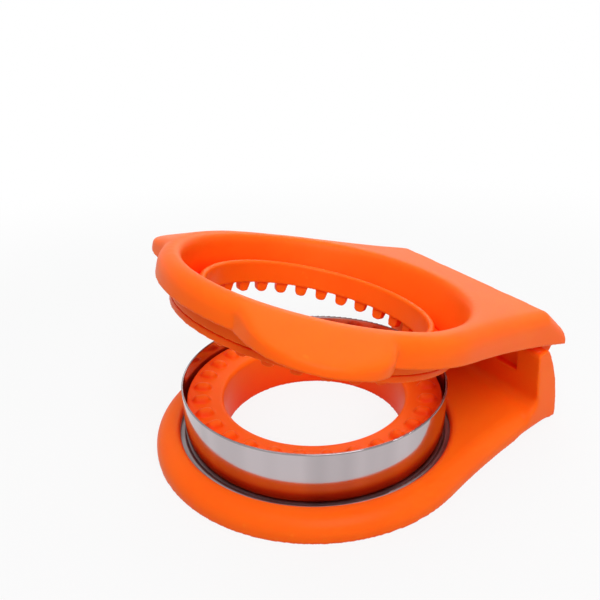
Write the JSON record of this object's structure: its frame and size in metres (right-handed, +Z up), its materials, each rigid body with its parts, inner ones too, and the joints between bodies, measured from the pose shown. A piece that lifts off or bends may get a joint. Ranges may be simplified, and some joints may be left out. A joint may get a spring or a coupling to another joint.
{
  "type": "sandwich cutter and sealer",
  "caption": "Round sandwich cutter and sealer: steel cutting ring on a plastic base, hinged lid with an open mouth, toothed crimp ring and side grip ears.",
  "frame": {"origin": "centre of the cutting ring's circle, on the table under the base", "axes": "+Z up, +X to the hinge at the rear, -X to the front edge that the hand lifts, +Y to the far side"},
  "size_m": [0.1343, 0.1194, 0.0715],
  "materials": {
    "orange_shell": "satin moulded plastic",
    "orange_plate": "satin moulded plastic",
    "orange_crimp": "satin moulded plastic",
    "cutter_steel": "rolled and polished stainless band",
    "screw_steel": "plated screws",
    "pin_steel": "ground steel pin"
  },
  "bodies": {
    "base": {"base_shell": "orange_shell", "base_plate": "orange_plate", "base_screws": "screw_steel", "lower_crimp_ring": "orange_crimp", "cutter_ring": "cutter_steel"},
    "lid": {"lid_shell": "orange_shell", "upper_crimp_ring": "orange_crimp", "hinge_pin": "pin_steel"}
  },
  "joints": [
    {"name": "lid_hinge", "type": "hinge", "parent": "base", "child": "lid", "pos_m": [0.074, 0, 0.0332], "axis": [0, 1, 0], "range_deg": [-15.5, 66]}
  ]
}
